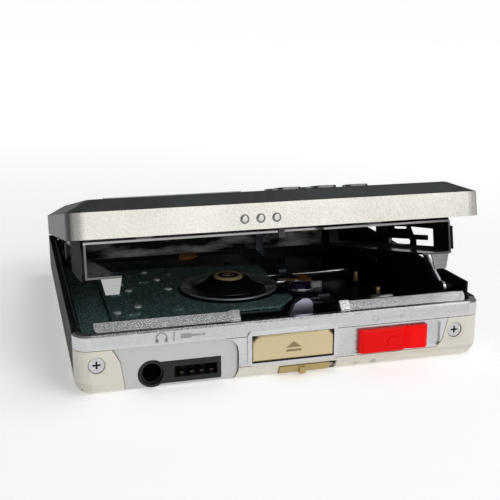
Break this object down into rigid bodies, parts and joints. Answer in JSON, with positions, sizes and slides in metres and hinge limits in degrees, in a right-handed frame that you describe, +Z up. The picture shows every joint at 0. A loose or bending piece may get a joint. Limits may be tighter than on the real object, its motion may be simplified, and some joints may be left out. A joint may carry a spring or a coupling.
{
  "type": "portable disc recorder",
  "caption": "Pocket recorder for a cartridge disc, with a hinged lid and holder, spindle, optical pickup on a sled, front open button and sliders.",
  "frame": {"origin": "on the flat underside, level with the spindle from side to side and half way from front to back", "axes": "+Z up; the front with the controls faces -Y and the hinge is at +Y; +X is to the right seen from the front"},
  "size_m": [0.082, 0.0884, 0.0354],
  "materials": {
    "cream_shell": "satin cream paint",
    "satin_silver": "fine sparkle satin silver",
    "jack_grey": "light grey satin",
    "black_plastic": "satin black",
    "gold_contact": "bright",
    "screw_steel": "bright nickel",
    "black_sheet": "black coated steel",
    "rail_black": "black satin",
    "pin_steel": "ground",
    "lip_steel": "bright satin",
    "deck_teal": "dark teal textured coat",
    "board_green": "solder mask",
    "cell_grey": "wrapped cell",
    "flex_orange": "polyimide film",
    "spring_steel": "spring wire",
    "motor_metal": "plated",
    "hub_brass": "polished ring",
    "disc_black": "black satin",
    "screw_thread": "rolled thread",
    "pickup_cast": "die-cast zinc grey",
    "lens_clear": "coated lens",
    "lid_champagne": "bead-blasted champagne silver",
    "window_black": "gloss window",
    "key_metal": "satin",
    "dot_bright": "bright dots",
    "button_gold": "champagne gold anodised",
    "hook_lavender": "zinc plate",
    "slider_red": "glossy red",
    "hold_gold": "gold paint"
  },
  "bodies": {
    "case": {"lower_case": "cream_shell", "front_panel": "satin_silver", "jack_panel": "jack_grey", "remote_connector": "black_plastic", "connector_contacts": "gold_contact", "front_screws": "screw_steel", "bottom_screws": "screw_steel", "side_rail_left": "rail_black", "side_rail_right": "rail_black", "hinge_pins": "pin_steel", "rear_cover": "rail_black", "line_jack": "black_plastic", "microphone_jack": "black_plastic", "front_lip_left": "lip_steel", "front_lip_right": "lip_steel", "deck_plate": "deck_teal", "right_frame": "black_sheet", "main_board": "board_green", "battery": "cell_grey", "battery_contacts": "gold_contact", "flex_cable": "flex_orange", "cover_plate": "black_sheet", "spindle_motor": "motor_metal", "sled_motor": "motor_metal", "motor_bush": "gold_contact", "guide_rod": "pin_steel", "lid_spring": "spring_steel", "latch_spring": "spring_steel"},
    "lid": {"lid_shell": "lid_champagne", "display_window": "window_black", "display_module": "window_black", "key_board": "board_green", "lid_plate": "lip_steel", "disc_holder": "lip_steel", "holder_springs": "spring_steel", "holder_bracket_left": "black_sheet", "holder_bracket_right": "black_sheet", "lid_catch": "hook_lavender", "lid_dots": "dot_bright"},
    "spindle": {"turntable": "disc_black", "hub_ring": "hub_brass"},
    "screw": {"lead_screw": "screw_thread"},
    "sled": {"pickup_sled": "pickup_cast", "pickup_lens": "lens_clear", "sled_flex": "flex_orange"},
    "head": {"head_arm": "pickup_cast"},
    "latch": {"latch_hook": "hook_lavender"},
    "open_control": {"open_button": "button_gold"},
    "rec_control": {"rec_slider": "slider_red"},
    "hold_control": {"hold_slider": "hold_gold"},
    "stay": {"stay_arm": "lip_steel"},
    "protect_switch": {"protect_plunger": "black_plastic"},
    "cartridge_switch": {"cartridge_plunger": "black_plastic"},
    "play_key_cap": {"play_key": "key_metal"},
    "stop_key_cap": {"stop_key": "key_metal"},
    "back_key_cap": {"back_key": "key_metal"},
    "forward_key_cap": {"forward_key": "key_metal"},
    "menu_key_cap": {"menu_key": "key_metal"}
  },
  "joints": [
    {"name": "lid_hinge", "type": "hinge", "parent": "case", "child": "lid", "pos_m": [0, 0.0395, 0.0106], "axis": [-1, 0, 0], "range_deg": [-12, 0], "stiffness_Nm_per_rad": 0.09, "springref_deg": 45.84},
    {"name": "stay_pivot", "type": "hinge", "parent": "case", "child": "stay", "pos_m": [0.0378, -0.0335, 0.0124], "axis": [1, 0, 0], "range_deg": [-71, 0]},
    {"name": "head_lift", "type": "hinge", "parent": "sled", "child": "head", "pos_m": [0.018, 0.0395, 0.0106], "axis": [-1, 0, 0], "range_deg": [-12, 0]},
    {"name": "sled_slide", "type": "slide", "parent": "case", "child": "sled", "axis": [1, 0, 0], "range_m": [-0.003, 0.011]},
    {"name": "screw_spin", "type": "hinge", "parent": "case", "child": "screw", "pos_m": [0.018, -0.0115, 0.0029], "axis": [1, 0, 0], "range_deg": [-721, 2641]},
    {"name": "turntable_spin", "type": "hinge", "parent": "case", "child": "spindle", "pos_m": [0, 0.002, 0.005], "axis": [0, 0, 1], "continuous": true},
    {"name": "open_press", "type": "slide", "parent": "case", "child": "open_control", "axis": [0, 1, 0], "range_m": [0, 0.0009], "stiffness_N_per_m": 300, "springref_m": -0.0005},
    {"name": "latch_slide", "type": "slide", "parent": "case", "child": "latch", "axis": [1, 0, 0], "range_m": [0, 0.0009]},
    {"name": "rec_slide", "type": "slide", "parent": "case", "child": "rec_control", "axis": [1, 0, 0], "range_m": [0, 0.0024], "stiffness_N_per_m": 100, "springref_m": -0.001},
    {"name": "hold_slide", "type": "slide", "parent": "case", "child": "hold_control", "axis": [1, 0, 0], "range_m": [0, 0.0015]},
    {"name": "protect_press", "type": "slide", "parent": "case", "child": "protect_switch", "axis": [0, 0, -1], "range_m": [0, 0.0008], "stiffness_N_per_m": 60, "springref_m": -0.0008},
    {"name": "cartridge_press", "type": "slide", "parent": "case", "child": "cartridge_switch", "axis": [0, 0, -1], "range_m": [0, 0.0008], "stiffness_N_per_m": 60, "springref_m": -0.0008},
    {"name": "play_key_press", "type": "slide", "parent": "lid", "child": "play_key_cap", "axis": [0, -0.2079, -0.9781], "range_m": [0, 0.0004], "stiffness_N_per_m": 400, "springref_m": -0.0004},
    {"name": "stop_key_press", "type": "slide", "parent": "lid", "child": "stop_key_cap", "axis": [0, -0.2079, -0.9781], "range_m": [0, 0.0004], "stiffness_N_per_m": 400, "springref_m": -0.0004},
    {"name": "back_key_press", "type": "slide", "parent": "lid", "child": "back_key_cap", "axis": [0, -0.2079, -0.9781], "range_m": [0, 0.0004], "stiffness_N_per_m": 400, "springref_m": -0.0004},
    {"name": "forward_key_press", "type": "slide", "parent": "lid", "child": "forward_key_cap", "axis": [0, -0.2079, -0.9781], "range_m": [0, 0.0004], "stiffness_N_per_m": 400, "springref_m": -0.0004},
    {"name": "menu_key_press", "type": "slide", "parent": "lid", "child": "menu_key_cap", "axis": [0, -0.2079, -0.9781], "range_m": [0, 0.0004], "stiffness_N_per_m": 400, "springref_m": -0.0004}
  ],
  "couplings": [
    {"joint": "stay_pivot", "follows": "lid_hinge", "ratio": 5.89},
    {"joint": "head_lift", "follows": "lid_hinge", "ratio": 1},
    {"joint": "screw_spin", "follows": "sled_slide", "rad_per_m": 4188.8},
    {"joint": "latch_slide", "follows": "open_press", "ratio": 1}
  ]
}
